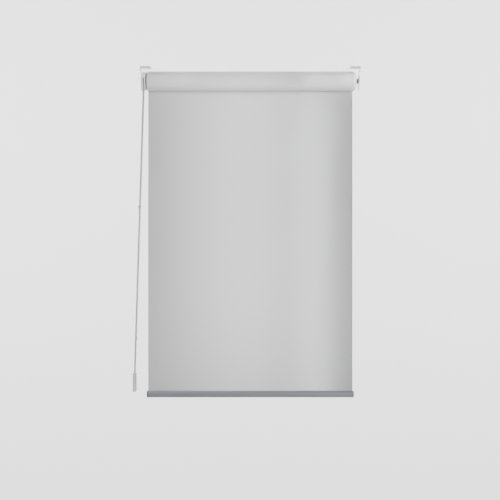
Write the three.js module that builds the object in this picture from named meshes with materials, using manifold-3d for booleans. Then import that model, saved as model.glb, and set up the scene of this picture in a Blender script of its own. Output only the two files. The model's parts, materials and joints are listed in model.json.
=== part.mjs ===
// A chain-operated roller blind that hangs from two steel end brackets.
// Millimetres, +Z up. X runs along the roller with the control chain at -X, and the room is at -Y.
// The origin is on the ceiling plane, over the roller's axis, at mid width.

import * as THREE from "three";
import { mergeVertices } from "three/addons/utils/BufferGeometryUtils.js";
import Module from "manifold-3d";

const wasm = await Module();
wasm.setup();

// Overall sizes
const HALF_WIDTH = 251.2;
const DROP = 757.5;
const AXIS_Z = -32;
const CLOTH_HALF = 236;
const GAP = 0.3;
const ROUND = 48;

// Brackets: a foot under the ceiling, then a plate that steps inwards on its way down
const PLATE = 1.6;
const STEP_IN = 2.2;
const BRACKET_HALF_DEPTH = 22;
const FOOT_LENGTH = 24;
const STEP_TOP = -12;
const STEP_BOTTOM = -16;
const NECK_INNER = HALF_WIDTH - PLATE;
const PLATE_OUTER = HALF_WIDTH - STEP_IN;
const PLATE_INNER = PLATE_OUTER - PLATE;
const BELOW_BRACKET = -60;
const FOOT_SLOT_X = 236;
const FOOT_SLOT_Y = 12;
const FOOT_SLOT_LENGTH = 10;
const SCREW_R = 2.3;

// Roller
const TUBE_R = 20;
const TUBE_WALL = 1.2;
const GROOVE_WIDTH = 3.2;
const GROOVE_DEPTH = 3;
const ROLL_R = 21.8;
const CLOTH = 0.45;
const CLOTH_Y = ROLL_R + 0.4;
const BARREL_R = 15.5;
const RIB_R = TUBE_R - TUBE_WALL - 0.4;
const RIB_HALF = 1;
const RIBS = 8;

// Bead chain
const BEAD_R = 2.25;
const BEAD_PITCH = 6;
const WHEEL_POCKETS = 12;
const PULLEY_POCKETS = 8;
const WHEEL_PITCH_R = (WHEEL_POCKETS * BEAD_PITCH) / (2 * Math.PI);
const PULLEY_PITCH_R = (PULLEY_POCKETS * BEAD_PITCH) / (2 * Math.PI);
const CHAIN_X = -244.2;
const DRIFT_START_Z = -52;
const DRIFT_END_Z = -696;
const CHAIN_STOP_Z = -320;
const CONNECTOR_Z = -621;

const STOP_R = 4.5;
const STOP_HEIGHT = 5.7;
const CONNECTOR_R = 3.3;
const CONNECTOR_HEIGHT = 9;

// Control unit
const HOUSING_R = 21.5;
const HOUSING_RIM_R = 18.9;
const HOUSING_INNER = -239;
const HOUSING_WALL = 2.4;
const HOUSING_EDGE = 0.6;
const SLOT_START = -244.6;
const SLOT_TOP = AXIS_Z + 6;
const EXIT_TOP = AXIS_Z - 8;
const EXIT_REACH = 14.8;
const BRIDGE_HALF = 6;
const WHEEL_HOLE = 10.5;
const LUG_Y = 18.75;
const LUG_Z = AXIS_Z + 7.5;
const LUG_R = 1.2;
const LUG_HOLE_R = 1.5;
const SPINDLE_R = 6;
const SPINDLE_END = -190.5;
const SPINDLE_BORE_R = 2;
const SPINDLE_BORE_END = -236;
const TENON_HALF = 3;
const CLIP_X = [-193.4, -192.4];
const CLIP_R = [5.2, 8.6];
const CLIP_NECK_R = 4.9;
const RIVET_HEAD_R = 5.4;
const RIVET_R = 1.7;
const COLLAR_END = -238.3;
const SLEEVE_X = [-239, -214];
const SLEEVE_IN = 8.3;
const SLEEVE_OUT = 10.1;
const CROWN_FACE = -238;
const CROWN_FLANGE_R = 19.4;
const CROWN_END = -194.5;
const CROWN_BORE = 10.4;
const JOURNAL_START = -197;
const DOG_START = -235;
const BRAKE_STARTS = [-234, -224];
const BRAKE_LENGTH = 6.4;
const BRAKE_TURNS = 4;
const BRAKE_R = 7;
const BRAKE_WIRE = 0.6;

// Idle end
const PLUG_START = 198;
const PLUG_FLANGE = 2.6;
const PLUG_NOSE = 243;
const NOSE_R = 5.6;
const CHAMBER_R = 5.2;
const CHAMBER_END = 229.4;
const BORE_R = 3.25;
const PIN_START = 210;
const PIN_TAIL_R = 1.8;
const PIN_COLLAR_X = [226, 229];
const PIN_COLLAR_R = 4.6;
const PIN_R = 2.9;
const PIN_END = HALF_WIDTH - 1.2;
const SEAT_X = [204, 206];
const PIN_SPRING_X = [206.9, 225.1];
const PIN_SPRING_R = 3.6;
const PIN_SPRING_WIRE = 0.5;
const PIN_SPRING_TURNS = 7;
const BUSH_START = 243.6;
const BUSH_R = 5.4;
const BUSH_NECK_R = 4.2;
const BUSH_HOLE_R = 4.5;

// Bottom bar
const BAR_HEIGHT = 15;
const BAR_DEPTH = 9;
const BAR_TOP = BAR_HEIGHT - DROP;
const BAR_ROUND = 1.4;
const CHANNEL_R = 2.6;
const CHANNEL_Z = BAR_TOP - 4.6;
const MOUTH = 1.4;
const CHAMBER_Z = BAR_TOP - 10.9;
const CHAMBER_DEPTH = BAR_DEPTH - 2.8;
const CHAMBER_HEIGHT = 5;
const CAP = 2;
const CAP_PEG = 5;

// Chain tensioner
const TENSIONER_X = -264.3;
const TENSIONER_BACK = -268.3;
const TENSIONER_RIM = -261.8;
const TENSIONER_FRONT = -259.9;
const TENSIONER_PLATE = 1.4;
const TENSIONER_TOP = -699.3;
const TENSIONER_HALF = 12;
const TENSIONER_SCREW_Z = -709;
const BOSS_R = 4.2;
const PULLEY_Z = -731;
const PULLEY_X = [-266.5, -262.1];
const AXLE_R = 1.9;

const material = (color, roughness, metalness = 0) =>
  new THREE.MeshStandardMaterial({ color, roughness, metalness });

const steelPaint = material(0xf0efeb, 0.45, 0.1);
const whitePlastic = material(0xefeee9, 0.5);
const innerPlastic = material(0x8d8f92, 0.55);
const tubeMetal = material(0xb9bbbd, 0.4, 0.9);
const barMetal = material(0xa9aaaa, 0.35, 0.9);
const springSteel = material(0x9a9c9f, 0.3, 1);
const cloth = material(0xcdcdcb, 0.95);
const chainPlastic = material(0xebe6dc, 0.4);
const capPlastic = material(0x77797b, 0.5);

// Shape coordinates go to (Y, Z) with the depth along X, or to (X, Z) with the depth along -Y.
const vector = (x, y, z) => new THREE.Vector3(x, y, z);
const TO_YZ = new THREE.Matrix4().makeBasis(vector(0, 1, 0), vector(0, 0, 1), vector(1, 0, 0));
const TO_XZ = new THREE.Matrix4().makeBasis(vector(1, 0, 0), vector(0, 0, 1), vector(0, -1, 0));

// A closed geometry as a solid, with its faces turned outwards.
function solidOf(geometry) {
  const bare = geometry.clone();
  bare.deleteAttribute("normal");
  bare.deleteAttribute("uv");
  const merged = mergeVertices(bare, 1e-4);
  const triVerts = [];
  for (let i = 0; i < merged.index.count; i += 3) {
    const [a, b, c] = [0, 1, 2].map((k) => merged.index.getX(i + k));
    if (a !== b && b !== c && c !== a) triVerts.push(a, b, c);
  }
  const vertProperties = merged.attributes.position.array;
  const made = (corners) =>
    new wasm.Manifold(
      new wasm.Mesh({ numProp: 3, vertProperties, triVerts: new Uint32Array(corners) }),
    );
  const solid = made(triVerts);
  return solid.volume() > 0 ? solid : made(triVerts.reverse());
}

function geometryOf(solid) {
  const mesh = solid.getMesh();
  const geometry = new THREE.BufferGeometry();
  geometry.setAttribute("position", new THREE.BufferAttribute(mesh.vertProperties, 3));
  geometry.setIndex(new THREE.BufferAttribute(mesh.triVerts, 1));
  geometry.computeVertexNormals();
  return geometry;
}

const join = (solids) => solids.reduce((a, b) => a.add(b));
const cut = (solid, tools) => tools.reduce((a, b) => a.subtract(b), solid);

function extruded(shape, depth) {
  return new THREE.ExtrudeGeometry(shape, { depth, bevelEnabled: false, curveSegments: 4 });
}

function prismX(shape, x0, x1) {
  return solidOf(extruded(shape, x1 - x0).applyMatrix4(TO_YZ).translate(x0, 0, 0));
}

function prismY(shape, y0, y1) {
  return solidOf(extruded(shape, y1 - y0).applyMatrix4(TO_XZ).translate(0, y1, 0));
}

function prismZ(shape, z0, z1) {
  return solidOf(extruded(shape, z1 - z0).translate(0, 0, z0));
}

function box([x0, x1], [y0, y1], [z0, z1]) {
  const geometry = new THREE.BoxGeometry(x1 - x0, y1 - y0, z1 - z0);
  return solidOf(geometry.translate((x0 + x1) / 2, (y0 + y1) / 2, (z0 + z1) / 2));
}

// A profile of [x, radius] points turned about a line along X at y = 0.
function turned(profile, z = AXIS_Z, sides = ROUND) {
  const closed = profile[0][1] > 0 ? [...profile, profile[0]] : profile;
  const points = closed.map(([x, r]) => new THREE.Vector2(r, x));
  const geometry = new THREE.LatheGeometry(points, sides);
  return solidOf(geometry.rotateZ(-Math.PI / 2).translate(0, 0, z));
}

const ring = (x0, x1, inner, outer, z = AXIS_Z, sides = ROUND) =>
  turned([[x0, inner], [x0, outer], [x1, outer], [x1, inner]], z, sides);

function rod(x0, x1, r, z = AXIS_Z, y = 0, sides = 24) {
  const solid = turned([[x0, 0], [x0, r], [x1, r], [x1, 0]], z, sides);
  return solid.translate([0, y, 0]);
}

// A rectangle with round corners, centred on (u, v).
function roundedRect(u, v, width, height, r) {
  const shape = new THREE.Shape();
  const [left, right] = [u - width / 2 + r, u + width / 2 - r];
  const [low, high] = [v - height / 2 + r, v + height / 2 - r];
  shape.absarc(right, low, r, -Math.PI / 2, 0);
  shape.absarc(right, high, r, 0, Math.PI / 2);
  shape.absarc(left, high, r, Math.PI / 2, Math.PI);
  shape.absarc(left, low, r, Math.PI, 1.5 * Math.PI);
  return shape;
}

// A plate outline in (Y, Z): round corners at the top and a half circle about (0, z) at the bottom.
function plateOutline(half, top, z, corner) {
  const shape = new THREE.Shape();
  shape.absarc(0, z, half, Math.PI, 2 * Math.PI);
  shape.absarc(half - corner, top - corner, corner, 0, Math.PI / 2);
  shape.absarc(corner - half, top - corner, corner, Math.PI / 2, Math.PI);
  return shape;
}

// A sector of the space round the roller's axis, as a wedge from angle a to angle b.
function wedge(x0, x1, a, b, reach) {
  const shape = new THREE.Shape();
  shape.moveTo(0, 0);
  shape.absarc(0, 0, reach, a, b);
  return prismX(shape, x0, x1).translate([0, 0, AXIS_Z]);
}

function polygon(r, sides) {
  const corner = (_, k) => {
    const angle = (2 * Math.PI * k) / sides;
    return new THREE.Vector2(r * Math.cos(angle), r * Math.sin(angle));
  };
  return new THREE.Shape(Array.from({ length: sides }, corner));
}

function tube(path, r, steps, sides = 8) {
  const settings = { extrudePath: path, steps, bevelEnabled: false };
  return solidOf(new THREE.ExtrudeGeometry(polygon(r, sides), settings));
}

class Coil extends THREE.Curve {
  constructor(x0, x1, radius, turns) {
    super();
    Object.assign(this, { x0, x1, radius, turns });
  }
  getPoint(t, target = new THREE.Vector3()) {
    const angle = 2 * Math.PI * this.turns * t;
    const x = this.x0 + (this.x1 - this.x0) * t;
    return target.set(x, this.radius * Math.cos(angle), AXIS_Z + this.radius * Math.sin(angle));
  }
}

const spring = (x0, x1, radius, wire, turns) =>
  tube(new Coil(x0, x1, radius, turns), wire, turns * 12, 6);

// Brackets, drawn for the +X side and mirrored for the other one

function bracketSection() {
  const shape = new THREE.Shape();
  shape.moveTo(HALF_WIDTH - FOOT_LENGTH, 0);
  shape.lineTo(HALF_WIDTH - FOOT_LENGTH, -PLATE);
  shape.lineTo(NECK_INNER, -PLATE);
  shape.lineTo(NECK_INNER, STEP_TOP - GAP);
  shape.lineTo(PLATE_INNER, STEP_BOTTOM - GAP);
  shape.lineTo(PLATE_INNER, BELOW_BRACKET);
  shape.lineTo(PLATE_OUTER, BELOW_BRACKET);
  shape.lineTo(PLATE_OUTER, STEP_BOTTOM);
  shape.lineTo(HALF_WIDTH, STEP_TOP);
  shape.absarc(NECK_INNER, -PLATE, PLATE, 0, Math.PI / 2);
  return shape;
}

function footSlots() {
  const corner = SCREW_R - 0.01;
  return [-FOOT_SLOT_Y, FOOT_SLOT_Y].map((y) => {
    const slot = roundedRect(FOOT_SLOT_X, y, FOOT_SLOT_LENGTH, 2 * SCREW_R, corner);
    return prismZ(slot, -PLATE - 1, 1);
  });
}

function bracket(side, centreCuts) {
  const depth = BRACKET_HALF_DEPTH;
  const bent = prismY(bracketSection(), -depth, depth);
  const outline = prismX(plateOutline(depth, 0.01, AXIS_Z, 0.01), 0, HALF_WIDTH + 1);
  const drawn = cut(bent.intersect(outline), footSlots());
  const placed = side > 0 ? drawn : drawn.mirror([1, 0, 0]);
  return cut(placed, centreCuts);
}

function controlBracket() {
  const [x0, x1] = [-HALF_WIDTH - 1, -PLATE_INNER + 1];
  const half = TENON_HALF + GAP;
  const square = box([x0, x1], [-half, half], [AXIS_Z - half, AXIS_Z + half]);
  const lugHoles = [-LUG_Y, LUG_Y].map((y) => rod(x0, x1, LUG_HOLE_R, LUG_Z, y));
  return bracket(-1, [square, ...lugHoles]);
}

function idleBracket() {
  return bracket(1, [rod(PLATE_INNER - 1, HALF_WIDTH + 1, BUSH_HOLE_R)]);
}

// Control unit

// A disc and a rim round the chain, with a slot down each side and an exit for each strand below.
function controlHousing() {
  const outer = -PLATE_INNER + GAP;
  const wall = HOUSING_INNER - HOUSING_WALL;
  const disc = turned([
    [wall, WHEEL_HOLE],
    [wall, HOUSING_R],
    [HOUSING_INNER - HOUSING_EDGE, HOUSING_R],
    [HOUSING_INNER, HOUSING_R - HOUSING_EDGE],
    [HOUSING_INNER, WHEEL_HOLE],
  ]);
  const rim = ring(outer, wall + 0.1, HOUSING_RIM_R, HOUSING_R);
  const reach = HOUSING_R + 1;
  const opening = (side, x0, y1, top) => {
    const y = [side * BRIDGE_HALF, side * y1].sort((a, b) => a - b);
    return box([x0, wall], y, [AXIS_Z - reach, top]);
  };
  const openings = [-1, 1].flatMap((side) => [
    opening(side, SLOT_START, reach, SLOT_TOP),
    opening(side, outer - 1, EXIT_REACH, EXIT_TOP),
  ]);
  const lug = (y) => rod(-PLATE_OUTER + 0.2, wall, LUG_R, LUG_Z, y, 12);
  return cut(join([disc, rim, lug(-LUG_Y), lug(LUG_Y)]), openings);
}

function controlSpindle() {
  const start = -PLATE_INNER + GAP;
  const [neckStart, neckEnd] = [CLIP_X[0] - GAP, CLIP_X[1] + GAP];
  const shank = turned([
    [start, 0],
    [start, SPINDLE_R],
    [neckStart, SPINDLE_R],
    [neckStart, CLIP_NECK_R],
    [neckEnd, CLIP_NECK_R],
    [neckEnd, SPINDLE_R],
    [SPINDLE_END, SPINDLE_R],
    [SPINDLE_END, 0],
  ]);
  const y = [-TENON_HALF, TENON_HALF];
  const tenon = box([-PLATE_OUTER + 0.1, start + 1], y, [AXIS_Z - TENON_HALF, AXIS_Z + TENON_HALF]);
  return cut(shank.add(tenon), [rod(-PLATE_OUTER - 1, SPINDLE_BORE_END, SPINDLE_BORE_R)]);
}

function spindleRivet() {
  const head = -HALF_WIDTH;
  const under = -PLATE_OUTER - GAP;
  const end = SPINDLE_BORE_END - 1;
  const profile = [
    [head, 0],
    [head, RIVET_HEAD_R - 1.2],
    [head + 0.6, RIVET_HEAD_R],
    [under, RIVET_HEAD_R],
    [under, RIVET_R],
    [end, RIVET_R],
    [end, 0],
  ];
  return turned(profile, AXIS_Z, 24);
}

function spindleClip() {
  const whole = ring(...CLIP_X, ...CLIP_R);
  const [x0, x1] = [CLIP_X[0] - 1, CLIP_X[1] + 1];
  return whole.subtract(wedge(x0, x1, 1.25 * Math.PI, 1.75 * Math.PI, CLIP_R[1] + 1));
}

// The drum that the chain runs on, a collar in the housing's wall, and a half sleeve over the springs.
function chainWheel() {
  const bore = SPINDLE_R + GAP;
  const collarX = HOUSING_INNER - HOUSING_WALL;
  const [x0, x1] = SLEEVE_X;
  const drum = ring(-PLATE_INNER + 0.4, collarX + 0.5, bore, WHEEL_PITCH_R - BEAD_R - GAP);
  const collar = ring(collarX, COLLAR_END, bore, SLEEVE_OUT);
  const sleeve = ring(x0, x1, SLEEVE_IN, SLEEVE_OUT);
  const sector = wedge(x0 - 1, x1 + 1, -Math.PI / 3, Math.PI / 2, SLEEVE_OUT + 1);
  return join([drum, collar, sleeve.intersect(sector)]);
}

const brakeSpring = (x0) => spring(x0, x0 + BRAKE_LENGTH, BRAKE_R, BRAKE_WIRE, BRAKE_TURNS);

// Ribs that centre a plug in the tube, clear of the groove at the top of the tube.
function plugRibs(x0, x1) {
  return Array.from({ length: RIBS }, (_, k) => {
    const rib = box([x0, x1], [BARREL_R - 1, RIB_R], [-RIB_HALF, RIB_HALF]);
    return rib.rotate([(360 * (k + 0.5)) / RIBS, 0, 0]).translate([0, 0, AXIS_Z]);
  });
}

function driveCrown() {
  const barrelStart = -CLOTH_HALF - 1;
  const inside = CROWN_BORE + 1;
  const flange = ring(CROWN_FACE, -CLOTH_HALF - GAP, CROWN_BORE, CROWN_FLANGE_R);
  const barrel = ring(barrelStart, CROWN_END, CROWN_BORE, BARREL_R);
  const journal = ring(JOURNAL_START, CROWN_END, SPINDLE_R + GAP, inside);
  const dogRing = ring(DOG_START, SLEEVE_X[1], SLEEVE_IN, inside);
  const sector = wedge(DOG_START - 1, SLEEVE_X[1] + 1, 0.9 * Math.PI, 1.15 * Math.PI, inside + 1);
  const dog = dogRing.intersect(sector);
  return join([flange, barrel, journal, dog, ...plugRibs(barrelStart, CROWN_END)]);
}

// Roller

function rollerTube() {
  const [x0, x1] = [-CLOTH_HALF, CLOTH_HALF];
  const inner = TUBE_R - TUBE_WALL;
  const [half, walled] = [GROOVE_WIDTH / 2, GROOVE_WIDTH / 2 + TUBE_WALL];
  const bottom = AXIS_Z + TUBE_R - GROOVE_DEPTH;
  const wall = ring(x0, x1, inner, TUBE_R);
  const floor = box([x0, x1], [-walled, walled], [bottom - TUBE_WALL, AXIS_Z + inner + 0.6]);
  const groove = box([x0 - 1, x1 + 1], [-half, half], [bottom, AXIS_Z + TUBE_R + 1]);
  return wall.add(floor).subtract(groove);
}

function tubeSpline() {
  const low = AXIS_Z + TUBE_R - GROOVE_DEPTH + GAP;
  const half = GROOVE_WIDTH / 2 - GAP;
  return box([-CLOTH_HALF + 1, CLOTH_HALF - 1], [-half, half], [low, low + 2]);
}

function fabricRoll() {
  return ring(-CLOTH_HALF, CLOTH_HALF, TUBE_R + GAP, ROLL_R);
}

function fabricDrop() {
  const low = CHANNEL_Z + CHANNEL_R - 0.4;
  return box([-CLOTH_HALF, CLOTH_HALF], [CLOTH_Y - CLOTH / 2, CLOTH_Y + CLOTH / 2], [low, AXIS_Z]);
}

// Idle end

// A ribbed plug with a flange that covers the cloth's end and domes up to a nose round the pin.
function idlePlug() {
  const face = CLOTH_HALF + GAP;
  const flangeR = TUBE_R + 0.2;
  const body = turned([
    [PLUG_START, CHAMBER_R],
    [PLUG_START, BARREL_R],
    [face, BARREL_R],
    [face, flangeR],
    [face + PLUG_FLANGE, flangeR],
    [PLUG_NOSE - 2.6, flangeR - 2.3],
    [PLUG_NOSE - 1, flangeR - 7.4],
    [PLUG_NOSE - 0.2, NOSE_R + 1.9],
    [PLUG_NOSE, NOSE_R],
    [PLUG_NOSE, BORE_R],
    [CHAMBER_END, BORE_R],
    [CHAMBER_END, CHAMBER_R],
  ]);
  return join([body, ...plugRibs(PLUG_START, face + 0.5)]);
}

function idlePin() {
  const [collarStart, collarEnd] = PIN_COLLAR_X;
  const profile = [
    [PIN_START, 0],
    [PIN_START, PIN_TAIL_R],
    [collarStart, PIN_TAIL_R],
    [collarStart, PIN_COLLAR_R],
    [collarEnd, PIN_COLLAR_R],
    [collarEnd, PIN_R],
    [PIN_END - 0.6, PIN_R],
    [PIN_END, PIN_R - 0.6],
    [PIN_END, 0],
  ];
  return turned(profile, AXIS_Z, 24);
}

const springSeat = () => ring(...SEAT_X, PIN_TAIL_R + 0.4, CHAMBER_R - GAP, AXIS_Z, 24);

const pinSpring = () => spring(...PIN_SPRING_X, PIN_SPRING_R, PIN_SPRING_WIRE, PIN_SPRING_TURNS);

function idleBush() {
  return turned([
    [BUSH_START, BORE_R],
    [BUSH_START, BUSH_R],
    [PLATE_INNER - GAP, BUSH_R],
    [PLATE_INNER - GAP, BUSH_NECK_R],
    [PLATE_OUTER - 0.1, BUSH_NECK_R],
    [PLATE_OUTER - 0.1, BORE_R],
  ]);
}

// Bottom bar

const barOutline = () =>
  roundedRect(CLOTH_Y, BAR_TOP - BAR_HEIGHT / 2, BAR_DEPTH, BAR_HEIGHT, BAR_ROUND);
const barChamber = (inset) =>
  roundedRect(CLOTH_Y, CHAMBER_Z, CHAMBER_DEPTH - inset, CHAMBER_HEIGHT - inset, 0.8);

function bottomBar() {
  const [x0, x1] = [-CLOTH_HALF, CLOTH_HALF];
  const channel = rod(x0 - 1, x1 + 1, CHANNEL_R, CHANNEL_Z, CLOTH_Y);
  const y = [CLOTH_Y - MOUTH / 2, CLOTH_Y + MOUTH / 2];
  const mouth = box([x0 - 1, x1 + 1], y, [CHANNEL_Z, BAR_TOP + 1]);
  const chamber = prismX(barChamber(0), x0 - 1, x1 + 1);
  return cut(prismX(barOutline(), x0, x1), [channel, mouth, chamber]);
}

function barSpline() {
  return rod(-CLOTH_HALF + 1, CLOTH_HALF - 1, CHANNEL_R - 0.7, CHANNEL_Z, CLOTH_Y, 16);
}

function barCap(side) {
  const face = CLOTH_HALF + GAP;
  const plate = prismX(barOutline(), face, face + CAP);
  const peg = prismX(barChamber(2 * GAP), face - CAP_PEG, face + 0.5);
  const cap = plate.add(peg);
  return side > 0 ? cap : cap.mirror([1, 0, 0]);
}

// Bead chain: up the front, over the wheel, down the back and round the tensioner's pulley

function chainPoint(side, z) {
  const whole = (AXIS_Z - z) / (AXIS_Z - PULLEY_Z);
  const drifted = (DRIFT_START_Z - z) / (DRIFT_START_Z - DRIFT_END_Z);
  const drift = Math.min(1, Math.max(0, drifted));
  const y = side * (WHEEL_PITCH_R + (PULLEY_PITCH_R - WHEEL_PITCH_R) * whole);
  return new THREE.Vector3(CHAIN_X + (TENSIONER_X - CHAIN_X) * drift, y, z);
}

function arcPoints(x, z, radius, from, to, steps) {
  return Array.from({ length: steps + 1 }, (_, k) => {
    const angle = from + ((to - from) * k) / steps;
    return vector(x, radius * Math.cos(angle), z + radius * Math.sin(angle));
  });
}

// A closed loop of polygons through the points, each square to the loop and lined up with X.
function closedTube(points, r, sides) {
  const count = points.length;
  const positions = [];
  const index = [];
  points.forEach((p, k) => {
    const before = points[(k + count - 1) % count];
    const along = points[(k + 1) % count].clone().sub(before).normalize();
    const u = vector(1, 0, 0).addScaledVector(along, -along.x).normalize();
    const v = along.clone().cross(u);
    for (let i = 0; i < sides; i++) {
      const angle = (2 * Math.PI * i) / sides;
      const q = p.clone().addScaledVector(u, r * Math.cos(angle));
      positions.push(...q.addScaledVector(v, r * Math.sin(angle)).toArray());
      const [here, next] = [k * sides, ((k + 1) % count) * sides];
      const j = (i + 1) % sides;
      index.push(here + i, here + j, next + j, here + i, next + j, next + i);
    }
  });
  const geometry = new THREE.BufferGeometry();
  geometry.setAttribute("position", new THREE.Float32BufferAttribute(positions, 3));
  geometry.setIndex(index);
  return solidOf(geometry);
}

function beadChain() {
  const overWheel = arcPoints(CHAIN_X, AXIS_Z, WHEEL_PITCH_R, Math.PI, 0, 14);
  const roundPulley = arcPoints(TENSIONER_X, PULLEY_Z, PULLEY_PITCH_R, 0, -Math.PI, 10);
  const down = [DRIFT_START_Z, DRIFT_END_Z].map((z) => chainPoint(1, z));
  const up = [DRIFT_END_Z, DRIFT_START_Z].map((z) => chainPoint(-1, z));
  return closedTube([...overWheel, ...down, ...roundPulley, ...up], BEAD_R, 8);
}

// A piece clipped round one strand, drawn about its own Z and then lined up with the chain.
function onChain(name, side, z, radius, height) {
  const bore = BEAD_R + GAP;
  const edge = 0.8;
  const profile = [
    [bore, -height / 2],
    [radius - edge, -height / 2],
    [radius, edge - height / 2],
    [radius, height / 2 - edge],
    [radius - edge, height / 2],
    [bore, height / 2],
    [bore, -height / 2],
  ].map(([r, h]) => new THREE.Vector2(r, h));
  const geometry = new THREE.LatheGeometry(profile, 20).rotateX(Math.PI / 2);
  const mesh = new THREE.Mesh(geometryOf(solidOf(geometry)), chainPlastic);
  const direction = chainPoint(side, z + 1).sub(chainPoint(side, z - 1)).normalize();
  mesh.name = name;
  mesh.position.copy(chainPoint(side, z));
  mesh.quaternion.setFromUnitVectors(vector(0, 0, 1), direction);
  return mesh;
}

// Chain tensioner, screwed to the reveal beside the blind

const tensionerOutline = (half, top) => plateOutline(half, top, PULLEY_Z, 3);

function tensionerBase() {
  const inner = TENSIONER_BACK + TENSIONER_PLATE;
  const under = inner - 0.5;
  const insideHalf = TENSIONER_HALF - TENSIONER_PLATE;
  const outside = tensionerOutline(TENSIONER_HALF, TENSIONER_TOP);
  const inside = tensionerOutline(insideHalf, TENSIONER_TOP + TENSIONER_HALF);
  const plate = prismX(outside, TENSIONER_BACK, inner);
  const hollow = prismX(inside, inner - 1, TENSIONER_RIM + 1);
  const rim = prismX(outside, under, TENSIONER_RIM).subtract(hollow);
  const boss = rod(under, TENSIONER_RIM, BOSS_R, TENSIONER_SCREW_Z);
  const through = (r, z) => rod(TENSIONER_BACK - 1, TENSIONER_RIM + 1, r, z);
  const holes = [through(SCREW_R - 0.1, TENSIONER_SCREW_Z), through(AXLE_R + GAP, PULLEY_Z)];
  return cut(join([plate, rim, boss]), holes);
}

function tensionerCover() {
  const back = TENSIONER_RIM + GAP;
  const plate = prismX(tensionerOutline(TENSIONER_HALF, TENSIONER_TOP), back, TENSIONER_FRONT);
  const through = (r, z) => rod(back - 1, TENSIONER_FRONT + 1, r, z);
  return cut(plate, [through(BOSS_R - 0.2, TENSIONER_SCREW_Z), through(AXLE_R + GAP, PULLEY_Z)]);
}

const tensionerAxle = () => rod(TENSIONER_BACK + GAP, TENSIONER_FRONT, AXLE_R, PULLEY_Z);

function tensionerPulley() {
  const drumR = PULLEY_PITCH_R - BEAD_R - GAP;
  return ring(...PULLEY_X, AXLE_R + 0.35, drumR, PULLEY_Z, 24);
}

function part(name, solid, look) {
  const mesh = new THREE.Mesh(geometryOf(solid), look);
  mesh.name = name;
  return mesh;
}

function group(...meshes) {
  const made = new THREE.Group();
  made.add(...meshes);
  return made;
}

const fixedFrame = group(
  part("control_bracket", controlBracket(), steelPaint),
  part("idle_bracket", idleBracket(), steelPaint),
  part("idle_bush", idleBush(), innerPlastic),
);

const controlUnit = group(
  part("control_housing", controlHousing(), whitePlastic),
  part("control_spindle", controlSpindle(), innerPlastic),
  part("spindle_rivet", spindleRivet(), springSteel),
  part("spindle_clip", spindleClip(), springSteel),
  part("chain_wheel", chainWheel(), innerPlastic),
  part("brake_spring_outer", brakeSpring(BRAKE_STARTS[0]), springSteel),
  part("brake_spring_inner", brakeSpring(BRAKE_STARTS[1]), springSteel),
  part("drive_crown", driveCrown(), innerPlastic),
);

const roller = group(
  part("roller_tube", rollerTube(), tubeMetal),
  part("tube_spline", tubeSpline(), innerPlastic),
  part("fabric_roll", fabricRoll(), cloth),
  part("fabric_drop", fabricDrop(), cloth),
);

const idleEnd = group(
  part("idle_plug", idlePlug(), whitePlastic),
  part("idle_pin", idlePin(), springSteel),
  part("pin_spring", pinSpring(), springSteel),
  part("spring_seat", springSeat(), springSteel),
);

const bar = group(
  part("bottom_bar", bottomBar(), barMetal),
  part("bar_spline", barSpline(), innerPlastic),
  part("bar_cap_left", barCap(-1), capPlastic),
  part("bar_cap_right", barCap(1), capPlastic),
);

const chain = group(
  part("bead_chain", beadChain(), chainPlastic),
  onChain("chain_stop", -1, CHAIN_STOP_Z, STOP_R, STOP_HEIGHT),
  onChain("chain_connector", 1, CONNECTOR_Z, CONNECTOR_R, CONNECTOR_HEIGHT),
);

const tensioner = group(
  part("tensioner_base", tensionerBase(), whitePlastic),
  part("tensioner_cover", tensionerCover(), whitePlastic),
  part("tensioner_axle", tensionerAxle(), springSteel),
  part("tensioner_pulley", tensionerPulley(), whitePlastic),
);

export default group(fixedFrame, controlUnit, roller, idleEnd, bar, chain, tensioner);
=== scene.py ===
# The looks of a chain-operated roller blind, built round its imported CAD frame.
# Shapes are drawn in millimetres and turned into metres when they become Blender objects.
# X runs along the roller with the control chain at -X, +Z is up, and the room is at -Y.

import json
import math

import bmesh
import bpy
from mathutils import Matrix, Vector, noise


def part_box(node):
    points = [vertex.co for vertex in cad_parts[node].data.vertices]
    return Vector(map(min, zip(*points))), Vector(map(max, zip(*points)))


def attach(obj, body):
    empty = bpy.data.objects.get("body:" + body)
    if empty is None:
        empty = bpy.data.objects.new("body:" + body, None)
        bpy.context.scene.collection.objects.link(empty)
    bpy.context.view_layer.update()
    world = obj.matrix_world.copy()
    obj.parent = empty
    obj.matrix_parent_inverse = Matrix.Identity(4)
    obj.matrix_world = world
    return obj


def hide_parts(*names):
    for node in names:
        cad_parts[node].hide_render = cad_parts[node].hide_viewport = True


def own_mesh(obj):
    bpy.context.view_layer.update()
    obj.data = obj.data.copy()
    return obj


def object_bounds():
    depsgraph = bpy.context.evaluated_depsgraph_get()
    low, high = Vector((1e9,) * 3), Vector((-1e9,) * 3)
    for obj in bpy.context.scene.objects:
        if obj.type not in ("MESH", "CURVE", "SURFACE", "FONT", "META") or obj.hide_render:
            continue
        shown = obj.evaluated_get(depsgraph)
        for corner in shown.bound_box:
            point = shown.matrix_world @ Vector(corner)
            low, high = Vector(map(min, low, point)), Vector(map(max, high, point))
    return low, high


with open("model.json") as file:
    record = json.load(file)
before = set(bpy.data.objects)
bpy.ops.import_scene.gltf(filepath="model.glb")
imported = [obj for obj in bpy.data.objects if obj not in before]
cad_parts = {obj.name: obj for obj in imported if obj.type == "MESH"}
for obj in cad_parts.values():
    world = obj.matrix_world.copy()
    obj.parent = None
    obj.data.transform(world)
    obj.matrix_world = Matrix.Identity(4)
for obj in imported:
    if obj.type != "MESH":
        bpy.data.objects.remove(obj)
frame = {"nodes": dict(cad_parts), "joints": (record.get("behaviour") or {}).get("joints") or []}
cad_low, cad_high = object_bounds()

MM = 0.001
TURN = 2 * math.pi
GAP = 0.3  # between neighbouring pieces that all but touch


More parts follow.
